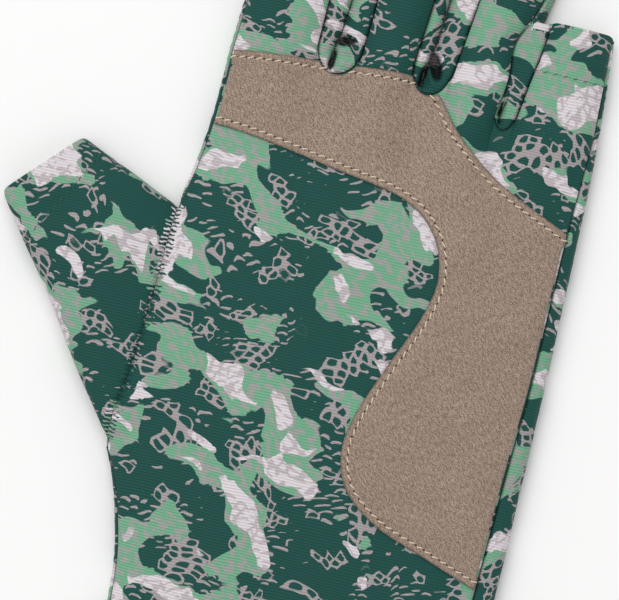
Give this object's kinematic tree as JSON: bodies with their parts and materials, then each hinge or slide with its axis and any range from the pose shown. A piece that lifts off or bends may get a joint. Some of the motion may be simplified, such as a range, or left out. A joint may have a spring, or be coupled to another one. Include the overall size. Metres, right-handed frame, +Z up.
{
  "type": "fingerless fishing glove",
  "caption": "Fingerless knit sun glove for the left hand, lying palm up, with a suede patch across the palm, folded strips between the fingers and a short thumb sleeve.",
  "frame": {"origin": "middle of the footprint, on the surface that the glove lies on", "axes": "+Y from the cuff to the fingertips, +X to the little finger, +Z up from the back of the hand through the palm"},
  "size_m": [0.1494, 0.2188, 0.0132],
  "materials": {
    "knit": "smooth printed stretch knit, camouflage in dark green, light green, off-white and grey",
    "suede": "matt micro-suede nap"
  },
  "bodies": {
    "root": {"palm_panel": "knit", "back_panel": "knit", "thumb": "knit", "fourchette_index_middle": "knit", "fourchette_middle_ring": "knit", "fourchette_ring_little": "knit", "palm_patch": "suede"}
  },
  "joints": []
}
